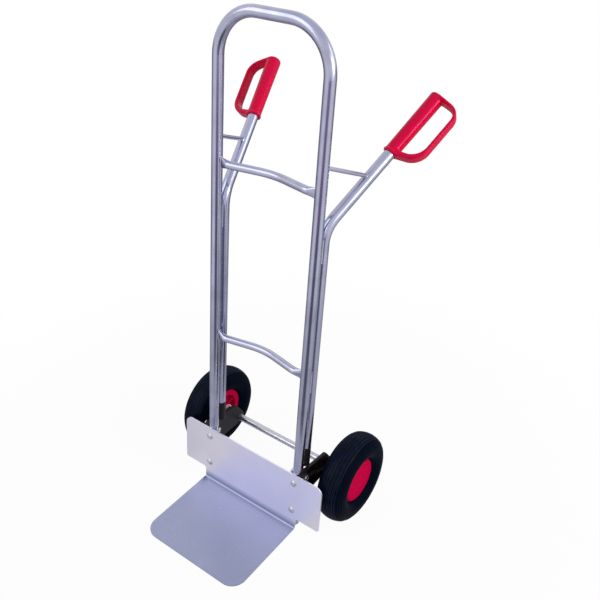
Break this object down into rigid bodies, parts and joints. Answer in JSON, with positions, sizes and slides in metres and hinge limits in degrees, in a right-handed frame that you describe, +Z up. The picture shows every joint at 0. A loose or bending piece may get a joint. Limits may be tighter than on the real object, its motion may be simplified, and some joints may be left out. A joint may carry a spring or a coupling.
{
  "type": "sack truck",
  "caption": "Upright sack truck: leaning loop frame of aluminium tube, splayed handles with guarded grips, folded toe plate and pneumatic wheels that spin on a fixed axle.",
  "frame": {"origin": "on the floor, under the middle of the truck's box", "axes": "+Z up, +X to the right as seen from the load side, +Y from the toe plate to the handles"},
  "size_m": [0.6146, 0.7082, 1.3489],
  "materials": {
    "frame_tube": "satin drawn tube",
    "weld_bead": "rippled weld",
    "plate": "satin rolled sheet",
    "red_grip": "glossy moulding",
    "red_rim": "satin moulding",
    "black_moulding": "matt moulding",
    "zinc_steel": "zinc plated",
    "tyre": "matt ribbed rubber",
    "butyl": "matt",
    "valve_metal": "plain",
    "bush_plastic": "plain"
  },
  "bodies": {
    "frame": {"axle": "zinc_steel", "axle_bracket_left": "black_moulding", "axle_bracket_right": "black_moulding", "axle_retainers": "zinc_steel", "axle_spacers": "zinc_steel", "axle_washers": "zinc_steel", "brace_rod_left": "frame_tube", "brace_rod_right": "frame_tube", "bracket_bolts": "zinc_steel", "bracket_nuts": "zinc_steel", "foot_plugs": "black_moulding", "grip_left": "red_grip", "grip_right": "red_grip", "handle_plugs": "black_moulding", "handle_tube_left": "frame_tube", "handle_tube_right": "frame_tube", "loop_tube": "frame_tube", "lower_cross_bar": "frame_tube", "stitch_welds_left": "weld_bead", "stitch_welds_right": "weld_bead", "toe_plate": "plate", "toe_plate_bolts": "zinc_steel", "toe_plate_nuts": "zinc_steel", "upper_cross_bar": "frame_tube"},
    "left_wheel": {"hub_cap_left": "red_rim", "inner_bush_left": "bush_plastic", "inner_tube_left": "butyl", "outer_bush_left": "bush_plastic", "rim_left": "red_rim", "tyre_left": "tyre", "valve_cap_left": "black_moulding", "valve_stem_left": "valve_metal"},
    "right_wheel": {"hub_cap_right": "red_rim", "inner_bush_right": "bush_plastic", "inner_tube_right": "butyl", "outer_bush_right": "bush_plastic", "rim_right": "red_rim", "tyre_right": "tyre", "valve_cap_right": "black_moulding", "valve_stem_right": "valve_metal"}
  },
  "joints": [
    {"name": "left_wheel_spin", "type": "hinge", "parent": "frame", "child": "left_wheel", "pos_m": [-0.246, 0.0565, 0.13], "axis": [1, 0, 0], "continuous": true},
    {"name": "right_wheel_spin", "type": "hinge", "parent": "frame", "child": "right_wheel", "pos_m": [0.246, 0.0565, 0.13], "axis": [1, 0, 0], "continuous": true}
  ]
}
